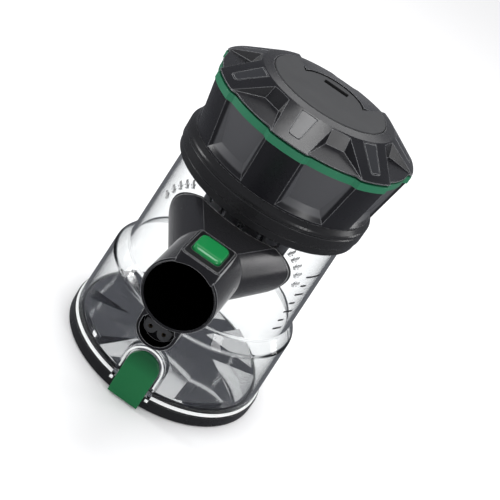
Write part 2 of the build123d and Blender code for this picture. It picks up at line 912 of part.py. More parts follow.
def make_crown_pocket():
    """The space of one pocket: a sloping floor, a steep inner wall and two sides that run out to the lugs."""
    wall_high = crown_ring_height - crown_pocket_lip
    inner_floor = (0, -crown_floor_radius, crown_floor_height)
    outer_floor = (0, -crown_floor_edge_radius, crown_floor_edge_height)
    floor = beyond(inner_floor, outer_floor, (1, -crown_floor_radius, crown_floor_height))
    wall_top = (0, -crown_pocket_top_radius, wall_high)
    wall = beyond(inner_floor, (1, -crown_floor_radius, crown_floor_height), wall_top)
    space = floor & wall
    tip_turn = 180.0 / lug_count - degrees(asin(lug_half_width / crown_edge_radius))
    for side in (-1, 1):
        low = (side * crown_pocket_half, -crown_floor_radius, crown_floor_height)
        high = (side * crown_pocket_half, -crown_pocket_top_radius, wall_high)
        tip = place(side * tip_turn, crown_edge_radius, crown_edge_height)
        corners = (low, tip, high) if side > 0 else (low, high, tip)
        space = space & beyond(*corners)
    return space


def scoop_plan(grow):
    """The scoop's outline behind the slot, from the crown's foot upwards, grown all round."""
    near = scoop_half_width + grow
    wide = near + band_radius * tan(radians(scoop_flare_deg))
    outline = Polyline((near, 0), (wide, band_radius), (-wide, band_radius), (-near, 0), close=True)
    space = Pos(0, 0, crown_low) * extrude(make_face(outline), scoop_top - crown_low)
    return space - disc(scoop_radius - grow, crown_low, scoop_top)


def pad_plans(grow):
    """The pads' outlines on the lugs, grown all round. Those behind the scoop start beyond it."""
    inner_half = pad_inner_width / 2 + grow
    outer_half = pad_outer_width / 2 + grow
    plan = make_face(
        Polyline(
            (-inner_half, -pad_inner_radius + grow),
            (inner_half, -pad_inner_radius + grow),
            (outer_half, -pad_outer_radius - grow),
            (-outer_half, -pad_outer_radius - grow),
            close=True,
        )
    )
    outer_corners = plan.vertices().sort_by(Axis.Y)[:2]
    pad = Pos(0, 0, crown_low) * extrude(fillet(outer_corners, pad_round + grow), crown_rise)
    scooped = scoop_plan(0) & disc(scoop_end + pad_inner_gap - grow, crown_low, disc_high)
    return [plan - scooped for plan in around(pad, lug_count)]


def make_crown():
    """The black crown: a cone with a pocket between each pair of lugs, a seat for the disc and a scoop."""
    slope = crown_slope(0)
    outline = disc(band_pocket_radius, crown_low, disc_high)
    steps = lugs(crown_low, disc_high, band_radius, band_radius)
    body = slope & (outline + steps)
    body += disc(disc_radius, crown_ring_height, scoop_high)
    body -= around(make_crown_pocket(), lug_count, 180.0 / lug_count)
    body -= ring(far, band_pocket_radius - shadow_depth, crown_low, crown_low + shadow_gap)
    scoop = scoop_plan(0)
    ramp = turned([(0, crown_low), ((scoop_top - crown_low) / scoop_fall, crown_low), (0, scoop_top)])
    body -= scoop - ramp
    body -= disc(disc_radius + groove_gap, disc_low, scoop_high) - scoop
    body -= disc(disc_radius + crown_hollow_lip, crown_low, disc_low - crown_roof)
    under = crown_slope(pad_thickness)
    return body - [plan & slope - under for plan in pad_plans(groove_gap / 2)]


def make_crown_disc():
    """The matte disc in the crown, cut back along the scoop, with a slot through it."""
    plate = disc(disc_radius, disc_low, disc_high) - scoop_plan(groove_gap)
    plate = chamfer(plate.faces().sort_by(Axis.Z)[-1].edges(), disc_chamfer)
    slot_outline = RectangleRounded(slot_length, slot_width, slot_round)
    return plate - Pos(0, slot_back, disc_low) * extrude(slot_outline, disc_height)


def make_lug_pads():
    """The satin pads, each let into the top of a lug."""
    thin = crown_slope(-loose_gap / 2) - crown_slope(pad_thickness)
    return [thin & plan for plan in pad_plans(-groove_gap / 2)]


def make_cap_seal():
    """A rubber ring round the cap's skirt, low in the neck."""
    outer = neck_bore - moving_gap / 2
    return ring(outer, skirt_radius - cap_seal_depth, cap_seal_low, cap_seal_low + cap_seal_height)


def make_cyclone_deck():
    """The plate that closes the cap's skirt and hangs the shroud."""
    top = cap_skirt_low
    plate = disc(skirt_radius, deck_low, top)
    spigot_outer = skirt_bore - loose_gap
    spigot = ring(spigot_outer, spigot_outer - deck_spigot_wall, top, top + deck_spigot_height)
    return plate + spigot - disc(shroud_radius - shroud_wall - deck_ledge, deck_low, top)


def make_shroud_cage():
    """The slotted shroud that hangs from the deck."""
    cage = ring(shroud_radius, shroud_radius - shroud_wall, shroud_low, deck_low)
    slots = []
    for row in range(shroud_slot_rows):
        foot = shroud_low + shroud_band + row * (shroud_slot_height + shroud_band)
        slot = slab(
            -shroud_slot_width / 2,
            shroud_slot_width / 2,
            -shroud_radius - overrun,
            -shroud_radius + shroud_wall + overrun,
            foot,
            foot + shroud_slot_height,
        )
        slots += around(slot, shroud_slot_columns)
    return cage - slots


def make_shroud_screen():
    """The fine screen inside the slots."""
    outer = shroud_radius - shroud_wall
    return ring(outer, outer - screen_thickness, shroud_low, deck_low)


def make_shroud_foot():
    """The flared foot that closes the shroud."""
    return turned(
        [
            (0, shroud_low - shroud_foot_height),
            (shroud_foot_radius, shroud_low - shroud_foot_height),
            (shroud_foot_radius, shroud_low - shroud_foot_height + shroud_foot_edge),
            (shroud_radius, shroud_low),
            (0, shroud_low),
        ]
    )


def make_filter_frame():
    """Two end rings and four thin posts that hold the pleated paper."""
    inner = filter_core_radius - filter_core_wall
    lower_end = ring(filter_radius, inner, cap_skirt_low, filter_low)
    upper_end = ring(filter_radius, inner, filter_high, ceiling_low)
    post = slab(-filter_post_half, filter_post_half, -filter_core_radius, -inner, cap_skirt_low, ceiling_low)
    return lower_end + upper_end + around(post, filter_post_count)


def make_pleated_filter():
    """The pleated paper between the frame's end rings."""
    step = 180.0 / pleat_count
    radii = (pleat_radius - pleat_depth, pleat_radius)
    folds = [(fold * step, radii[fold % 2]) for fold in range(2 * pleat_count)]
    crests = [place(azimuth, radius, filter_low) for azimuth, radius in folds]
    roots = [place(azimuth, radius - pleat_paper, filter_low) for azimuth, radius in folds]
    paper = make_face(Polyline(*crests, close=True)) - make_face(Polyline(*roots, close=True))
    return extrude(paper, filter_high - filter_low, dir=(0, 0, 1))


def make_foam_ring():
    """The soft foam sleeve inside the pleats."""
    return ring(foam_radius, filter_core_radius + loose_gap, filter_low, filter_high)


nodes = {
    "dust_bin": make_dust_bin(),
    "base_door": make_base_door(),
    "floor_plate": make_floor_plate(),
    "door_seal": make_door_seal(),
    "hinge_pin": make_pin(knuckle_half + moving_gap + ear_width, hinge_reach, hinge_height),
    "door_latch": make_door_latch(),
    "latch_pin": make_pin(guard_half_width + guard_wall, -latch_pin_reach, latch_pin_height),
    "latch_spring": make_latch_spring(),
    "inlet_duct": make_inlet_duct(),
    "duct_gasket": make_duct_gasket(),
    "button_bezel": make_button_bezel(),
    "release_button": make_release_button(),
    "button_spring": make_button_spring(),
    "connector_socket": make_connector_socket(),
    "connector_terminals": make_connector_terminals(),
    "bin_collar": make_bin_collar(),
    "lock_ring": make_lock_ring(),
    "cap_body": make_cap_body(),
    "green_band": make_green_band(),
    "cap_crown": make_crown(),
    "crown_disc": make_crown_disc(),
    "lug_pads": make_lug_pads(),
    "cap_seal": make_cap_seal(),
    "cyclone_deck": make_cyclone_deck(),
    "shroud_cage": make_shroud_cage(),
    "shroud_screen": make_shroud_screen(),
    "shroud_foot": make_shroud_foot(),
    "filter_frame": make_filter_frame(),
    "pleated_filter": make_pleated_filter(),
    "foam_ring": make_foam_ring(),
}

os.makedirs("parts", exist_ok=True)
for name, shape in nodes.items():
    solids = shape if isinstance(shape, list) else [shape]
    export_step(Compound([solid for piece in solids for solid in piece.solids()]), f"parts/{name}.step")
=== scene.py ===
"""A cyclone dust bin on a pale floor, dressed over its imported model. Metres, +Z up, wand inlet along -Y."""

from math import pi, radians, sin, sqrt

import bmesh
import bpy
from mathutils import Matrix, Vector


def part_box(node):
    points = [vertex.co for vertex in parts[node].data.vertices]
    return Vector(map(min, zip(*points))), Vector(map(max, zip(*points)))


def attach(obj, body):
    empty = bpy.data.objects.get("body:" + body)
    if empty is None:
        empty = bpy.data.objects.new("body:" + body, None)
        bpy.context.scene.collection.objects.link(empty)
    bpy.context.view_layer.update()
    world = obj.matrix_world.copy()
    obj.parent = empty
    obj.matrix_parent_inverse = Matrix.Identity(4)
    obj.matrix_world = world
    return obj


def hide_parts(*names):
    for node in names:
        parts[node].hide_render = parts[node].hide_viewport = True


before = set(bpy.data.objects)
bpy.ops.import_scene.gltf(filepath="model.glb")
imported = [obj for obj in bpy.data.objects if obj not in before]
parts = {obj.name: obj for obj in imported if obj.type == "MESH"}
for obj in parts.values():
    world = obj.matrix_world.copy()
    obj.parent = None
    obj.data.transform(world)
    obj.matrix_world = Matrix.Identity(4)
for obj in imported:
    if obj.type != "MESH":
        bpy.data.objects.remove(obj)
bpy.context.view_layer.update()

# The base door: one black satin moulding, a flat plate with a deep rim that carries the hinge's knuckle. The
# mould breaks every sharp edge a little, which rounds its shading there, and a painted highlight lays a thin
# pale line along it.


def fed(tree, node, inputs):
    """Fills a node's inputs: a number or a colour is set, and another node's output is wired in."""
    for place, value in inputs.items():
        if isinstance(value, bpy.types.NodeSocket):
            tree.links.new(value, node.inputs[place])
        else:
            node.inputs[place].default_value = value
    return node


def added(tree, kind, inputs, **settings):
    """A new node in a material, with its settings and its inputs."""
    node = tree.nodes.new("ShaderNode" + kind)
    for name, value in settings.items():
        setattr(node, name, value)
    return fed(tree, node, inputs)


def new_stuff(name):
    """A new material, with the shader that it starts from."""
    stuff = bpy.data.materials.new(name)
    stuff.use_nodes = True
    return stuff, stuff.node_tree, stuff.node_tree.nodes["Principled BSDF"]


def blended(tree, share, first, second):
    """A colour between two others."""
    mix = added(tree, "Mix", {"Factor": share, "A": first, "B": second}, data_type="RGBA")
    return mix.outputs["Result"]


def broken_edge(tree, radius, low, high, light=1.0):
    """A wall's normal with rounded edges, and how much a spot lies on one, from 0 on the flat to light."""
    rounded = added(tree, "Bevel", {"Radius": radius}).outputs["Normal"]
    plain = added(tree, "NewGeometry", {}).outputs["Normal"]
    alike = added(tree, "VectorMath", {0: rounded, 1: plain}, operation="DOT_PRODUCT")
    edge = added(tree, "MapRange", {
        "Value": alike.outputs["Value"],
        "From Min": 1.0 - low,
        "From Max": 1.0 - high,
        "To Max": light,
    })
    return rounded, edge.outputs["Result"]


def moulded(name, colour, roughness, grain_size=0.0004, grain_depth=0.000004, edge_radius=0.0003,
            painted_edge_share=0.35, painted_edge_colour=(0.20, 0.205, 0.215), streaks=0.05, outline=0.0):
    """An injection-moulded plastic: faint flow streaks in its gloss, a fine grain and broken edges with a
    painted line.
    """
    stuff, tree, shader = new_stuff(name)
    place = added(tree, "TexCoord", {}).outputs["Object"]
    flow = added(tree, "TexNoise", {"Vector": place, "Scale": 45.0, "Detail": 4.0}).outputs["Fac"]
    gloss = added(tree, "MapRange", {
        "Value": flow,
        "From Min": 0.3,
        "From Max": 0.7,
        "To Min": max(roughness - streaks, 0.02),
        "To Max": roughness + streaks,
    })
    darker, paler = (*[c * 0.88 for c in colour], 1.0), (*[c * 1.12 for c in colour], 1.0)
    tone = blended(tree, flow, darker, paler)
    rounded, edge = broken_edge(tree, edge_radius, 0.015, 0.12, painted_edge_share)
    grain = added(tree, "TexNoise", {"Vector": place, "Scale": 1.0 / grain_size, "Detail": 2.0})
    raised = added(tree, "Bump", {
        "Strength": 1.0,
        "Distance": grain_depth,
        "Height": grain.outputs["Fac"],
        "Normal": rounded,
    })
    # Painted highlight: near its edges the base colour turns to the edge colour, a pale line, and on the
    # teeth a dark one.
    fed(tree, shader, {
        "Base Color": blended(tree, edge, tone, (*painted_edge_colour, 1.0)),
        "Roughness": gloss.outputs["Result"],
        "Normal": raised.outputs["Normal"],
        "Sheen Weight": outline,
        "Sheen Roughness": 0.25,
    })
    return stuff


def finish(node, stuff):
    """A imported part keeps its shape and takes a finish."""
    for slot in parts[node].material_slots:
        slot.material = stuff


black_satin = moulded("black_satin_plastic", (0.011, 0.011, 0.012), 0.27)
finish("base_door", black_satin)

# The floor plate: a glossy dark grey moulding with ramps that turn the dust, snapped into the door. It
# mirrors the room far more than the other plastics do.
floor_grey = moulded("dark_grey_gloss_plastic", (0.008, 0.008, 0.014), 0.10, painted_edge_share=0.6, streaks=0.03)
floor_shader = floor_grey.node_tree.nodes["Principled BSDF"]
fed(floor_grey.node_tree, floor_shader, {"Coat Weight": 1.0, "Coat Roughness": 0.04, "Coat IOR": 3.2})
finish("floor_plate", floor_grey)

# The seals: a ring round the door's spigot, one on the cap's skirt and the gasket between the duct and the
# bin. All three are soft black rubber, moulded and pressed into place.
rubber = moulded("black_rubber", (0.016, 0.016, 0.017), 0.6, grain_depth=0.00001, painted_edge_share=0.15)
for node in ("door_seal", "cap_seal", "duct_gasket"):
    finish(node, rubber)

# The clear bin: one polished polycarbonate moulding with the latch's guard and the hinge's ears. Its tint is
# painted dark where the eye looks along the wall, along its rounded corners and in two bands where it bends,
# a painted shade for the dark lines of a thick clear wall. The bead at its foot and the guard's lip are
# frosted near-white, also a painted highlight for the bright ring along those edges.


def worked(tree, operation, *values):
    """One step of arithmetic on a pattern."""
    return added(tree, "Math", dict(enumerate(values)), operation=operation).outputs["Value"]


def between(tree, value, low, high):
    """1 where a value lies between two limits, and 0 elsewhere."""
    return worked(tree, "COMPARE", value, (low + high) / 2, (high - low) / 2)


def reach_of(tree, across, along):
    """How far a spot lies from the middle, from its two distances square to each other."""
    legs = added(tree, "CombineXYZ", {"X": across, "Y": along}).outputs["Vector"]
    return added(tree, "VectorMath", {0: legs}, operation="LENGTH").outputs["Value"]


def laid_over(tree, share, under, over):
    """A shader that covers another where a mask is 1."""
    return added(tree, "MixShader", {0: share, 1: under.outputs[0], 2: over.outputs[0]})


knee, waist, bend_painted_shade = (0.0508, 0.0514), (0.0582, 0.0588), 0.45
bead_low, bead_high, bead_reach = 0.0074, 0.0091, 0.0582
lip_middle, lip_low_reach, lip_high_reach, lip_back = 0.0257, 0.0103, 0.0113, -0.0595
lip_foot = 0.017
past_bin = 0.1
painted_shade_by_slant = [(0.50, 0.04), (0.72, 0.09), (0.84, 0.16), (0.93, 0.40)]
clear, clear_tree, clear_shader = new_stuff("clear_polycarbonate")
clear_place = added(clear_tree, "TexCoord", {}).outputs["Object"]
clear_spot = added(clear_tree, "SeparateXYZ", {"Vector": clear_place})
across, along, up = clear_spot.outputs["X"], clear_spot.outputs["Y"], clear_spot.outputs["Z"]
haze = added(clear_tree, "TexNoise", {"Vector": clear_place, "Scale": 30.0}).outputs["Fac"]
polish = added(clear_tree, "MapRange", {"Value": haze, "To Min": 0.0, "To Max": 0.03}).outputs["Result"]
# Painted shade: the tint darkens along rounded corners, towards grazing views and in the bands of the two
# bends.
clear_round, corner_painted_shade = broken_edge(clear_tree, 0.0008, 0.006, 0.07)
slant = added(clear_tree, "LayerWeight", {"Blend": 0.5}).outputs["Facing"]
wall_painted_shade = added(clear_tree, "FloatCurve", {"Value": slant})
for facing, dark in painted_shade_by_slant:
    wall_painted_shade.mapping.curves[0].points.new(facing, dark)
wall_painted_shade.mapping.curves[0].points[-1].location = (1.0, 0.80)
wall_painted_shade.mapping.update()
bends = worked(clear_tree, "MAXIMUM", between(clear_tree, up, *knee), between(clear_tree, up, *waist))
painted_dark_lines = worked(clear_tree, "MAXIMUM", corner_painted_shade, worked(clear_tree, "MULTIPLY", bends, bend_painted_shade))
clear_painted_shade = worked(clear_tree, "MAXIMUM", wall_painted_shade.outputs["Value"], painted_dark_lines)
fed(clear_tree, clear_shader, {
    "Transmission Weight": 1.0,
    "IOR": 1.27,
    "Base Color": blended(clear_tree, clear_painted_shade, (0.97, 0.98, 0.98, 1.0), (0.16, 0.17, 0.18, 1.0)),
    "Roughness": polish,
    "Normal": clear_round,
})
lamp_ray = added(clear_tree, "LightPath", {}).outputs["Is Shadow Ray"]
let_through = added(clear_tree, "BsdfTransparent", {"Color": (0.93, 0.94, 0.94, 1.0)})
clear_wall = laid_over(clear_tree, lamp_ray, clear_shader, let_through)
# Painted highlight: the bead and the lip are laid over with a frosted near-white, for the bright ring along
# their edges.
bead_band = between(clear_tree, up, bead_low, bead_high)
bead_edge = between(clear_tree, reach_of(clear_tree, across, along), bead_reach, past_bin)
bead = worked(clear_tree, "MULTIPLY", bead_band, bead_edge)
arch_rise = worked(clear_tree, "MAXIMUM", worked(clear_tree, "SUBTRACT", up, lip_middle), 0.0)
lip_arch = between(clear_tree, reach_of(clear_tree, across, arch_rise), lip_low_reach, lip_high_reach)
lip_face = worked(clear_tree, "MULTIPLY", between(clear_tree, along, -past_bin, lip_back),
                  between(clear_tree, up, lip_foot, past_bin))
lip = worked(clear_tree, "MULTIPLY", lip_arch, lip_face)
frost_highlight = added(clear_tree, "BsdfPrincipled", {"Base Color": (0.92, 0.93, 0.93, 1.0), "Roughness": 0.35})
frost_highlighted = laid_over(clear_tree, worked(clear_tree, "MAXIMUM", bead, lip), clear_wall, frost_highlight)
fed(clear_tree, clear_tree.nodes["Material Output"], {"Surface": frost_highlighted.outputs[0]})
finish("dust_bin", clear)

# The teeth beside the duct's wings: five pointed wedges a side, moulded on the neck and pointing away from
# the wing. Their faces are frosted, and their edges are painted dark, a painted shade for the dark outline of
# a clear edge.


def neck_radius(height):
    """The neck's outer radius at a height, as it tapers a little towards its top."""
    share = (height - neck_foot_height) / (neck_top_height - neck_foot_height)
    return neck_foot_radius + (neck_top_radius - neck_foot_radius) * share


def made(name, form, stuff, smooth_to=None):
    """A finished piece of one material, smooth over its edges up to an angle in degrees, or flat-faced."""
    for face in form.faces:
        face.smooth = smooth_to is not None
    mesh = bpy.data.meshes.new(name)
    form.to_mesh(mesh)
    form.free()
    if smooth_to is not None:
        mesh.set_sharp_from_angle(angle=radians(smooth_to))
    mesh.materials.append(stuff)
    piece = bpy.data.objects.new(name, mesh)
    bpy.context.scene.collection.objects.link(piece)
    return piece


neck_foot_height, neck_foot_radius = 0.0586, 0.0515
neck_top_height, neck_top_radius = 0.1221, 0.0494
tooth_width, tooth_length, tooth_low, tooth_high = 0.0024, 0.0050, 0.0002, 0.0010
tooth_top_share = 0.72
teeth_by_azimuth_height_lean = [
    (37.0, 0.1172, 60.0),
    (41.5, 0.1142, 48.0),
    (46.0, 0.1102, 40.0),
    (50.0, 0.1052, 34.0),
    (53.0, 0.0992, 30.0),
]
middle = (0.0, 0.0, 0.0)
teeth = bmesh.new()
for side in (-1, 1):
    for azimuth, height, lean in teeth_by_azimuth_height_lean:
        wedge = bmesh.ops.create_cone(teeth, cap_ends=True, segments=3, radius1=1.0, radius2=tooth_top_share,
                                      depth=1.0)["verts"]
        wedge_size = (tooth_width / sqrt(3.0), tooth_length / 1.5, tooth_low + tooth_high)
        bmesh.ops.scale(teeth, verts=wedge, vec=wedge_size)
        turn = Matrix.Rotation(radians(side * (lean - 90.0)), 3, "Z")
        bmesh.ops.rotate(teeth, verts=wedge, cent=middle, matrix=turn)
        sideways, upwards = Vector((1.0, 0.0, 0.0)), Vector((0.0, 0.0, 1.0))
        sideways.rotate(Matrix.Rotation(radians(side * azimuth), 3, "Z"))
        outwards = sideways.cross(upwards)
        stand = Matrix((sideways, upwards, outwards)).transposed()
        bmesh.ops.rotate(teeth, verts=wedge, cent=middle, matrix=stand)
        out_by = neck_radius(height) + (tooth_high - tooth_low) / 2
        bmesh.ops.translate(teeth, verts=wedge, vec=outwards * out_by + upwards * height)
bmesh.ops.recalc_face_normals(teeth, faces=teeth.faces)
# Painted shade: the edge colour draws a dark line along every edge of the teeth.
tooth_clear = moulded("frosted_tooth", (0.78, 0.79, 0.80), 0.3, edge_radius=0.0005, painted_edge_share=1.0,
                      painted_edge_colour=(0.03, 0.032, 0.035))
wall_teeth = made("wall_teeth", teeth, tooth_clear)
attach(wall_teeth, "bin")

# The level marks: dark ink, pad-printed on the right side of the neck. The long line is for full, and the
# short ones below it are plain ticks.
ink_thickness, ink_gap = 0.00012, 0.00003
mark_height = 0.0012
mark_middle = 67.0
full_line_height, full_line_sweep = 0.104, 15.0
tick_foot, tick_step, tick_count = 0.068, 0.006, 6
long_tick_sweep, short_tick_sweep = 8.0, 5.0
lines = [(full_line_height, full_line_sweep)]
for step in range(tick_count):
    lines.append((tick_foot + tick_step * step, long_tick_sweep if step % 2 == 0 else short_tick_sweep))
marks = bmesh.new()
for height, sweep in lines:
    stroke = bmesh.ops.create_grid(marks, x_segments=1, y_segments=1, size=0.5)["verts"]
    bmesh.ops.scale(marks, verts=stroke, vec=(ink_thickness, mark_height, 1.0))
    bmesh.ops.rotate(marks, verts=stroke, cent=middle, matrix=Matrix.Rotation(pi / 2, 3, "X"))
    out_by = neck_radius(height) + ink_thickness / 2 + ink_gap
    bmesh.ops.translate(marks, verts=stroke, vec=(out_by, 0.0, height))
    start = mark_middle - 90.0 - full_line_sweep / 2
    bmesh.ops.rotate(marks, verts=stroke, cent=middle, matrix=Matrix.Rotation(radians(start), 3, "Z"))
    faces = {face for corner in stroke for face in corner.link_faces}
    edges = {edge for corner in stroke for edge in corner.link_edges}
    bmesh.ops.spin(marks, geom=list(stroke) + list(edges) + list(faces), cent=middle, axis=(0.0, 0.0, 1.0),
                   angle=radians(sweep), steps=10, use_merge=False)
bmesh.ops.recalc_face_normals(marks, faces=marks.faces)
ink = moulded("grey_ink", (0.02, 0.021, 0.023), 0.5, painted_edge_share=0.0)
level_marks = made("level_marks", marks, ink)
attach(level_marks, "bin")

# The hinge pin and the latch pin: turned steel, pressed into the bin's ears. The springs of the latch and the
# button are wound from wire of the same colour.


def metal(name, colour, grain_scale, smoothest, roughest):
    """A bare metal whose polish changes from spot to spot."""
    stuff, tree, shader = new_stuff(name)
    place = added(tree, "TexCoord", {}).outputs["Object"]
    marks_left = added(tree, "TexNoise", {"Vector": place, "Scale": grain_scale}).outputs["Fac"]
    gloss = added(tree, "MapRange", {"Value": marks_left, "To Min": smoothest, "To Max": roughest})
    fed(tree, shader, {"Metallic": 1.0, "Base Color": (*colour, 1.0), "Roughness": gloss.outputs["Result"]})
    return stuff


steel = metal("turned_steel", (0.72, 0.72, 0.74), 900.0, 0.15, 0.4)
for node in ("hinge_pin", "latch_pin", "latch_spring", "button_spring"):
    finish(node, steel)

# The door latch: a glossy dark green moulding, an arched paddle whose face bows towards the bin, with a
# rounded rim. A barrel behind it turns on the pin, and a toe at its foot holds the door. The paddle's top is
# painted darker, a painted shade where it bends away from the light.
latch_low_corner, latch_high_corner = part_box("door_latch")
latch_width = latch_high_corner[0] - latch_low_corner[0]
latch_height = latch_high_corner[2] - latch_low_corner[2]
latch_middle = latch_low_corner[2] + latch_height / 2
paddle_thickness, paddle_rim = 0.0027, 0.0008
paddle_face = latch_low_corner[1]
paddle_bow, foot_bow_share = 0.0013, 0.35
arch_share, arch_steps, paddle_slices = 0.499, 18, 12
pin_height, pin_reach = 0.0125, -0.0612
barrel_radius = 0.0025
latch_side_gap = 0.0003
toe_height = 0.0035
paddle = bmesh.new()
bmesh.ops.create_cube(paddle, size=1.0)
bmesh.ops.scale(paddle, verts=paddle.verts, vec=(latch_width, paddle_thickness, latch_height))
shoulders = [edge for edge in paddle.edges if all(corner.co.z > 0 for corner in edge.verts)
             and abs(edge.verts[0].co.y - edge.verts[1].co.y) > paddle_thickness / 2]
bmesh.ops.bevel(paddle, geom=shoulders, offset=latch_width * arch_share, segments=arch_steps, profile=0.5,
                material=-1, affect="EDGES")
for step in range(1, paddle_slices):
    slice_at = latch_height * (step / paddle_slices - 0.5)
    bmesh.ops.bisect_plane(paddle, geom=list(paddle.verts) + list(paddle.edges) + list(paddle.faces),
                           plane_co=(0.0, 0.0, slice_at), plane_no=(0.0, 0.0, 1.0))
front_rim = [edge for edge in paddle.edges if len(edge.link_faces) == 2
             and sum(face.normal.y < -0.9 for face in edge.link_faces) == 1]
bmesh.ops.bevel(paddle, geom=front_rim, offset=paddle_rim, segments=4, profile=0.5, material=-1,
                affect="EDGES")
bmesh.ops.translate(paddle, verts=paddle.verts, vec=(0.0, paddle_face + paddle_thickness / 2, latch_middle))
for corner in paddle.verts:
    reach = (corner.co.z - pin_height) / (latch_high_corner[2] - pin_height)
    foot = max(-reach, 0.0) * latch_height / pin_height
    nearness = (paddle_face + paddle_thickness - corner.co.y) / paddle_thickness
    corner.co.y += paddle_bow * nearness * (reach * reach if reach > 0 else foot * foot * foot_bow_share)
barrel = bmesh.ops.create_cone(paddle, cap_ends=True, segments=32, radius1=barrel_radius,
                               radius2=barrel_radius, depth=latch_width - 2 * latch_side_gap)["verts"]
bmesh.ops.rotate(paddle, verts=barrel, cent=middle, matrix=Matrix.Rotation(pi / 2, 3, "Y"))
bmesh.ops.translate(paddle, verts=barrel, vec=(0.0, pin_reach, pin_height))
toe = bmesh.ops.create_cube(paddle, size=1.0)["verts"]
toe_depth = latch_high_corner[1] - (paddle_face + paddle_thickness)
bmesh.ops.scale(paddle, verts=toe, vec=(latch_width - 2 * latch_side_gap, toe_depth, toe_height))
toe_place = (0.0, latch_high_corner[1] - toe_depth / 2, latch_low_corner[2] + toe_height / 2)
bmesh.ops.translate(paddle, verts=toe, vec=toe_place)
bmesh.ops.recalc_face_normals(paddle, faces=paddle.faces)
latch_green = moulded("latch_green_plastic", (0.010, 0.125, 0.042), 0.2, painted_edge_colour=(0.10, 0.30, 0.16))
latch_tree = latch_green.node_tree
latch_base = latch_tree.nodes["Principled BSDF"].inputs["Base Color"]
# Painted shade: the paddle's top few millimetres blend towards a darker green.
shade_start, shade_end, shade_share = 0.012, 0.003, 0.62
latch_place = added(latch_tree, "TexCoord", {}).outputs["Object"]
latch_spot = added(latch_tree, "SeparateXYZ", {"Vector": latch_place})
top_painted_shade = added(latch_tree, "MapRange", {
    "Value": latch_spot.outputs["Z"],
    "From Min": latch_high_corner[2] - shade_start,
    "From Max": latch_high_corner[2] - shade_end,
    "To Max": shade_share,
})
latch_painted_shade = blended(latch_tree, top_painted_shade.outputs["Result"], latch_base.links[0].from_socket,
                       (0.003, 0.035, 0.014, 1.0))
latch_tree.links.new(latch_painted_shade, latch_base)
latch_paddle = made("latch_paddle", paddle, latch_green, smooth_to=40)
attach(latch_paddle, "latch")
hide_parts("door_latch")

# The inlet duct: one glossy black moulding with the button's housing and the connector's lobe, seated on the
# neck. Its bore, and every face turned to the tube's axis, is painted a near-black matt, a painted shade for
# the dark inside of the tube.
tube_height = 0.1015
wide_bore, narrow_bore = 0.01698, 0.0125
bore_step = -0.0810
inward_facing = -0.2
duct_black = moulded("duct_black_plastic", (0.009, 0.009, 0.011), 0.24, edge_radius=0.0005, painted_edge_share=0.9,
                     painted_edge_colour=(0.36, 0.365, 0.38), outline=0.7)
duct_tree = duct_black.node_tree
duct_place = added(duct_tree, "TexCoord", {})
from_tube_axis = added(duct_tree, "Mapping", {
    "Vector": duct_place.outputs["Object"],
    "Location": (0.0, 0.0, -tube_height),
    "Scale": (1.0, 0.0, 1.0),
}).outputs["Vector"]
way_out = added(duct_tree, "VectorMath", {0: from_tube_axis}, operation="NORMALIZE").outputs["Vector"]
facing_out = added(duct_tree, "VectorMath", {0: way_out, 1: duct_place.outputs["Normal"]},
                   operation="DOT_PRODUCT").outputs["Value"]
facing_axis = worked(duct_tree, "LESS_THAN", facing_out, inward_facing)
duct_spot = added(duct_tree, "SeparateXYZ", {"Vector": duct_place.outputs["Object"]})
core_radius = added(duct_tree, "MapRange", {
    "Value": duct_spot.outputs["Y"],
    "From Min": bore_step - 0.0001,
    "From Max": bore_step,
    "To Min": wide_bore,
    "To Max": narrow_bore,
}).outputs["Result"]
from_axis = added(duct_tree, "VectorMath", {0: from_tube_axis}, operation="LENGTH").outputs["Value"]
in_core = worked(duct_tree, "LESS_THAN", from_axis, core_radius)
# Painted shade: a near-black matt shader covers the bore and the faces turned to the axis.
bore_painted_shade = added(duct_tree, "BsdfDiffuse", {"Color": (0.0004, 0.0004, 0.0005, 1.0)})
duct_surface = laid_over(duct_tree, worked(duct_tree, "MAXIMUM", facing_axis, in_core),
                         duct_tree.nodes["Principled BSDF"], bore_painted_shade)
fed(duct_tree, duct_tree.nodes["Material Output"], {"Surface": duct_surface.outputs[0]})
finish("inlet_duct", duct_black)

# The mouth's lip: a ring at the end of the tube, part of the same moulding. It is thickest at its foot, where
# it closes the nick of the connector's recess, and thin at its top, where the button sinks over it.
lip_bore, lip_outside, lip_front, lip_depth, lip_round = 0.01684, 0.01815, 0.1096, 0.0066, 0.0003
lip_drop = 0.0006
mouth_lip = bmesh.new()
bmesh.ops.create_grid(mouth_lip, x_segments=1, y_segments=1, size=0.5)
bmesh.ops.scale(mouth_lip, verts=mouth_lip.verts, vec=(lip_outside - lip_bore, lip_depth, 1.0))
bmesh.ops.bevel(mouth_lip, geom=list(mouth_lip.edges) + list(mouth_lip.verts), offset=lip_round, segments=4,
                profile=0.5, material=-1, affect="VERTICES")
bmesh.ops.translate(mouth_lip, verts=mouth_lip.verts,
                    vec=((lip_outside + lip_bore) / 2, lip_depth / 2 - lip_front, 0.0))
bmesh.ops.spin(mouth_lip, geom=list(mouth_lip.verts) + list(mouth_lip.edges) + list(mouth_lip.faces),
               cent=middle, axis=(0.0, 1.0, 0.0), angle=2 * pi, steps=96, use_merge=True)
profile_faces = [face for face in mouth_lip.faces if len(face.verts) > 4]
bmesh.ops.delete(mouth_lip, geom=profile_faces, context="FACES_ONLY")
for corner in mouth_lip.verts:
    reach = Vector((corner.co.x, corner.co.z)).length
    corner.co.z -= lip_drop * (reach - lip_bore) / (lip_outside - lip_bore)
bmesh.ops.translate(mouth_lip, verts=mouth_lip.verts, vec=(0.0, 0.0, tube_height))
bmesh.ops.recalc_face_normals(mouth_lip, faces=mouth_lip.faces)
lip_ring = made("mouth_lip", mouth_lip, duct_black, smooth_to=35)
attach(lip_ring, "bin")

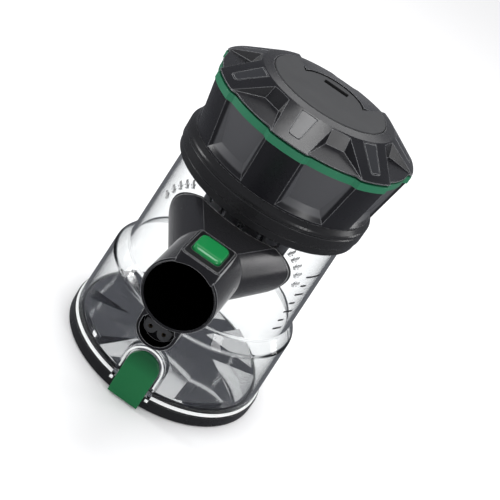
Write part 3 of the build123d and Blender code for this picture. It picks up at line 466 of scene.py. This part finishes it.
# The release button: a glossy green moulding, a rounded oblong cap whose top rolls over to the front and a
# little to the rear. A flange at its foot holds it under the black frame, and it rides on its coil.
bezel_black = moulded("bezel_black_plastic", (0.003, 0.003, 0.004), 0.4, edge_radius=0.0005, painted_edge_share=0.9,
                      painted_edge_colour=(0.36, 0.365, 0.38))
finish("button_bezel", bezel_black)
button_low_corner, button_high_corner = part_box("release_button")
flange_reach, flange_height = 0.001, 0.00075
button_width = button_high_corner[0] - button_low_corner[0] - 2 * flange_reach
button_length = button_high_corner[1] - button_low_corner[1] - 2 * flange_reach
button_height = button_high_corner[2] - button_low_corner[2]
button_middle = (button_low_corner[1] + button_high_corner[1]) / 2
button_foot = button_low_corner[2]
corner_round, rim_round = 0.0040, 0.0009
front_roll, front_drop, rear_roll, rear_drop = 0.0056, 0.0018, 0.0040, 0.0007
roll_steps = 12
cap = bmesh.new()
bmesh.ops.create_cube(cap, size=1.0)
bmesh.ops.scale(cap, verts=cap.verts, vec=(button_width, button_length, button_height))
upright = [edge for edge in cap.edges
           if abs(edge.verts[0].co.z - edge.verts[1].co.z) > button_height * 0.9]
bmesh.ops.bevel(cap, geom=upright, offset=corner_round, segments=8, profile=0.5, material=-1, affect="EDGES")
cap.normal_update()
top_rim = [edge for edge in cap.edges if sum(face.normal.z > 0.9 for face in edge.link_faces) == 1]
bmesh.ops.bevel(cap, geom=top_rim, offset=rim_round, segments=4, profile=0.5, material=-1, affect="EDGES")
front_start, rear_start = front_roll - button_length / 2, button_length / 2 - rear_roll
for step in range(roll_steps):
    share = sin(step * pi / (2 * roll_steps))
    for slice_at in (front_start - front_roll * share, rear_start + rear_roll * share):
        bmesh.ops.bisect_plane(cap, geom=list(cap.verts) + list(cap.edges) + list(cap.faces),
                               plane_co=(0.0, slice_at, 0.0), plane_no=(0.0, 1.0, 0.0))
for corner in cap.verts:
    if corner.co.z > 0.0:
        ahead = min(max((front_start - corner.co.y) / front_roll, 0.0), 1.0)
        behind = min(max((corner.co.y - rear_start) / rear_roll, 0.0), 1.0)
        corner.co.z -= front_drop * (1.0 - sqrt(1.0 - ahead * ahead))
        corner.co.z -= rear_drop * (1.0 - sqrt(1.0 - behind * behind))
bmesh.ops.translate(cap, verts=cap.verts, vec=(0.0, button_middle, button_foot + button_height / 2))
flange = bmesh.ops.create_cube(cap, size=1.0)["verts"]
flange_size = (button_width + 2 * flange_reach, button_length + 2 * flange_reach, flange_height)
bmesh.ops.scale(cap, verts=flange, vec=flange_size)
bmesh.ops.translate(cap, verts=flange, vec=(0.0, button_middle, button_foot + flange_height / 2))
bmesh.ops.recalc_face_normals(cap, faces=cap.faces)
button_green = moulded("button_green_plastic", (0.010, 0.20, 0.055), 0.16, painted_edge_colour=(0.25, 0.75, 0.42))
button_cap = made("button_cap", cap, button_green, smooth_to=35)
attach(button_cap, "button")
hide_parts("release_button")

# The connector: a grey plastic insert in the lobe under the mouth. Its two sleeves are stamped brass, and lie
# dull and deep in their holes.
insert_grey = moulded("insert_grey_plastic", (0.032, 0.033, 0.036), 0.4, painted_edge_share=0.25)
finish("connector_socket", insert_grey)
brass = metal("stamped_brass", (0.20, 0.15, 0.08), 1200.0, 0.3, 0.6)
finish("connector_terminals", brass)

# The collar and the lock ring: black satin mouldings like the door. The collar is bonded round the neck, and
# the ring above it takes the cap's tabs.
finish("bin_collar", black_satin)
finish("lock_ring", black_satin)

# The separator: a deck, a slotted cage and a flared foot, moulded in dark plastic and hung from the cap. The
# filter's frame is of the same plastic.
inner_plastic = moulded("inner_plastic", (0.022, 0.022, 0.025), 0.35)
for node in ("cyclone_deck", "shroud_cage", "shroud_foot", "filter_frame"):
    finish(node, inner_plastic)

# The screen behind the cage's slots: a sheet of steel with square holes etched through it. It is rolled to a
# tube and held by the cage.
screen_low_corner, screen_high_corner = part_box("shroud_screen")
screen_inset = 0.0001
screen_radius = (screen_high_corner[0] - screen_low_corner[0]) / 2 - screen_inset
screen_height = screen_high_corner[2] - screen_low_corner[2]
screen_middle = (screen_low_corner[2] + screen_high_corner[2]) / 2
holes_round, holes_up = 112, 30
web_width, screen_sheet = 0.00034, 0.0003
screen = bmesh.new()
bmesh.ops.create_cone(screen, cap_ends=False, segments=holes_round, radius1=screen_radius,
                      radius2=screen_radius, depth=screen_height)
uprights = [edge for edge in screen.edges
            if abs(edge.verts[0].co.z - edge.verts[1].co.z) > screen_height / 2]
bmesh.ops.subdivide_edges(screen, edges=uprights, cuts=holes_up - 1, use_grid_fill=True)
cells = list(screen.faces)
bmesh.ops.inset_individual(screen, faces=cells, thickness=web_width, depth=0.0)
bmesh.ops.delete(screen, geom=cells, context="FACES_ONLY")
bmesh.ops.recalc_face_normals(screen, faces=screen.faces)
bmesh.ops.solidify(screen, geom=screen.faces, thickness=screen_sheet)
bmesh.ops.translate(screen, verts=screen.verts, vec=(0.0, 0.0, screen_middle))
etched_screen = made("etched_screen", screen, steel)
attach(etched_screen, "cap")
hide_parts("shroud_screen")

# The filter: pleated off-white paper, held in its frame inside the cap, with a sleeve of dark open foam. Both
# lift out with the cap.
filter_white = moulded("filter_paper", (0.8, 0.79, 0.74), 0.8, grain_depth=0.00003, painted_edge_share=0.0)
finish("pleated_filter", filter_white)
foam = moulded("open_foam", (0.06, 0.06, 0.065), 0.9, grain_size=0.0012, grain_depth=0.0003, painted_edge_share=0.0)
finish("foam_ring", foam)

# The twist cap: a glossy black body under a green band, and the crown above them with a pad on each lug. The
# body's side pockets are satin and painted a lighter grey, a painted reflection, as far as they lie behind
# the cone of its outer face.
lug_foot_height, lug_foot_radius, lug_slope, pocket_depth = 0.1385, 0.0524, 0.168, 0.0012
pocket_blend = 0.0006
cap_black = moulded("cap_black_plastic", (0.008, 0.008, 0.010), 0.27, edge_radius=0.0005, painted_edge_share=0.9,
                    painted_edge_colour=(0.30, 0.305, 0.32), outline=0.1)
side_black = cap_black.copy()
side_black.name = "cap_side_plastic"
side_tree = side_black.node_tree
side_shader = side_tree.nodes["Principled BSDF"]
side_place = added(side_tree, "TexCoord", {}).outputs["Object"]
side_spot = added(side_tree, "SeparateXYZ", {"Vector": side_place})
side_reach = reach_of(side_tree, side_spot.outputs["X"], side_spot.outputs["Y"])
cone_reach = worked(side_tree, "MULTIPLY_ADD", side_spot.outputs["Z"], -lug_slope,
                    lug_slope * lug_foot_height - lug_foot_radius)
in_pocket = added(side_tree, "MapRange", {
    "Value": worked(side_tree, "ADD", side_reach, cone_reach),
    "From Min": -pocket_depth,
    "From Max": -pocket_depth - pocket_blend,
})
# Painted reflection: the pockets take a lighter grey than the black body, for the light their faces catch.
pocket_satin_painted_light = added(side_tree, "BsdfPrincipled", {
    "Base Color": (0.062, 0.063, 0.069, 1.0),
    "Roughness": 0.38,
    "Normal": side_shader.inputs["Normal"].links[0].from_socket,
})
side_surface = laid_over(side_tree, in_pocket.outputs["Result"], side_shader, pocket_satin_painted_light)
fed(side_tree, side_tree.nodes["Material Output"], {"Surface": side_surface.outputs[0]})
finish("cap_body", side_black)
band_green = moulded("band_green_plastic", (0.016, 0.150, 0.074), 0.33, painted_edge_colour=(0.10, 0.35, 0.2))
finish("green_band", band_green)
finish("cap_crown", cap_black)
pad_black = moulded("pad_black_plastic", (0.022, 0.023, 0.026), 0.24, edge_radius=0.0005, painted_edge_share=1.0,
                    painted_edge_colour=(0.36, 0.365, 0.38))
finish("lug_pads", pad_black)

# The disc in the crown: a dark grey moulding with a fine matt grain, pressed in. A near-black matt tray lines
# its slot.
disc_grey = moulded("disc_grey_plastic", (0.030, 0.031, 0.033), 0.5, grain_depth=0.00001, painted_edge_share=0.4)
finish("crown_disc", disc_grey)
slot_middle, slot_length, slot_width, slot_round = 0.0107, 0.0146, 0.0054, 0.0008
tray_gap, tray_wall, tray_sink = 0.00005, 0.0005, 0.0002
disc_low_corner, disc_high_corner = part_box("crown_disc")
disc_middle = (disc_low_corner[2] + disc_high_corner[2]) / 2
tray_length, tray_width = slot_length - 2 * tray_gap, slot_width - 2 * tray_gap
tray_height = disc_high_corner[2] - disc_low_corner[2] - 2 * tray_sink
tray = bmesh.new()
bmesh.ops.create_cube(tray, size=1.0)
bmesh.ops.scale(tray, verts=tray.verts, vec=(tray_length, tray_width, tray_height))
tray_uprights = [edge for edge in tray.edges
                 if abs(edge.verts[0].co.z - edge.verts[1].co.z) > tray_height / 2]
bmesh.ops.bevel(tray, geom=tray_uprights, offset=slot_round, segments=5, profile=0.5, material=-1,
                affect="EDGES")
lid = [face for face in tray.faces if face.normal.z > 0.9]
bmesh.ops.inset_region(tray, faces=lid, thickness=tray_wall, depth=0.0)
lid_corners = [corner for face in lid for corner in face.verts]
bmesh.ops.translate(tray, verts=lid_corners, vec=(0.0, 0.0, tray_wall - tray_height))
bmesh.ops.translate(tray, verts=tray.verts, vec=(0.0, slot_middle, disc_middle))
bmesh.ops.recalc_face_normals(tray, faces=tray.faces)
slot_tray_near_black = moulded("slot_tray_near_black", (0.002, 0.002, 0.002), 0.8, painted_edge_share=0.0)
slot_tray = made("slot_tray", tray, slot_tray_near_black)
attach(slot_tray, "cap")

# The floor: a wide sheet of pale paper. The eye sees it almost white, and in the gloss of the plastic it is
# swapped for a dim grey glow, a painted reflection, so that the black keeps its depth.


def mirrored_only(tree):
    """1 for what a gloss mirrors, also through the clear wall, and 0 for what the eye sees straight."""
    return worked(tree, "MINIMUM", added(tree, "LightPath", {}).outputs["Glossy Depth"], 1.0)


floor_reach, floor_drop = 6.0, 0.0001
mirror_tint = (0.95, 0.98, 1.08, 1.0)
floor_mirrored, room_mirrored = 0.144, 0.203
sheet = bmesh.new()
bmesh.ops.create_grid(sheet, x_segments=1, y_segments=1, size=floor_reach)
bmesh.ops.translate(sheet, verts=sheet.verts, vec=(0.0, 0.0, -floor_drop))
paper, paper_tree, paper_shader = new_stuff("studio_paper")
fed(paper_tree, paper_shader, {
    "Base Color": (0.93, 0.93, 0.94, 1.0),
    "Roughness": 0.9,
    "Specular IOR Level": 0.1,
})
# Painted reflection: what the gloss mirrors of the paper is a fixed dim glow, not the lit paper.
paper_painted_reflection = added(paper_tree, "Emission", {"Color": mirror_tint, "Strength": floor_mirrored})
paper_surface = laid_over(paper_tree, mirrored_only(paper_tree), paper_shader, paper_painted_reflection)
fed(paper_tree, paper_tree.nodes["Material Output"], {"Surface": paper_surface.outputs[0]})
floor = made("floor", sheet, paper)

# The studio: a white room that the gloss mirrors as dim grey, too. Soft lamps stand above, beside and behind
# the bin, and a strip on each side draws a bright line down its flanks.
world = bpy.data.worlds.new("studio")
bpy.context.scene.world = world
world.use_nodes = True
room = world.node_tree
room.nodes.clear()
lit_wall = added(room, "Background", {"Color": (1.0, 1.0, 1.0, 1.0), "Strength": 0.95})
dim_wall = added(room, "Background", {"Color": mirror_tint, "Strength": room_mirrored})
walls = laid_over(room, mirrored_only(room), lit_wall, dim_wall)
added(room, "OutputWorld", {"Surface": walls.outputs[0]})


def softbox(name, place, aim, width, height, power):
    """A square lamp with a diffuser, turned towards a point of the bin."""
    lamp = bpy.data.lights.new(name, "AREA")
    lamp.shape = "RECTANGLE"
    lamp.size, lamp.size_y, lamp.energy = width, height, power
    holder = bpy.data.objects.new(name, lamp)
    bpy.context.scene.collection.objects.link(holder)
    holder.location = place
    holder.rotation_euler = (Vector(aim) - Vector(place)).to_track_quat("-Z", "Y").to_euler()


softbox("overhead", (0.0, 0.02, 0.95), (0.0, 0.0, 0.15), 0.30, 0.34, 2.2)
softbox("overhead_rear", (0.0, 0.75, 0.85), (0.0, 0.0, 0.15), 0.5, 0.5, 1.3)
softbox("right_front", (0.62, -0.50, 0.34), (0.0, 0.0, 0.12), 0.14, 0.4, 1.3)
softbox("left_strip", (-0.78, -0.12, 0.25), (0.0, 0.0, 0.10), 0.10, 0.7, 2.4)
softbox("right_strip", (0.68, 0.42, 0.25), (0.0, 0.0, 0.10), 0.10, 0.7, 1.2)

# The camera: a short telephoto on a stand in front of the inlet. It looks down on the bin and is rolled,
# which lays the bin aslant in the picture.
camera_place = (0.0379, -0.5422, 0.3643)
camera_turn, camera_tilt, camera_roll = 2.98, 62.8, 33.64
lens = bpy.data.cameras.new("camera")
lens.lens, lens.sensor_width = 80.52, 36.0
camera = bpy.data.objects.new("camera", lens)
bpy.context.scene.collection.objects.link(camera)
camera.matrix_world = (
    Matrix.Translation(camera_place)
    @ Matrix.Rotation(radians(camera_turn), 4, "Z")
    @ Matrix.Rotation(radians(camera_tilt), 4, "X")
    @ Matrix.Rotation(radians(camera_roll), 4, "Z")
)
bpy.context.scene.camera = camera
bpy.context.scene.view_settings.view_transform = "Standard"
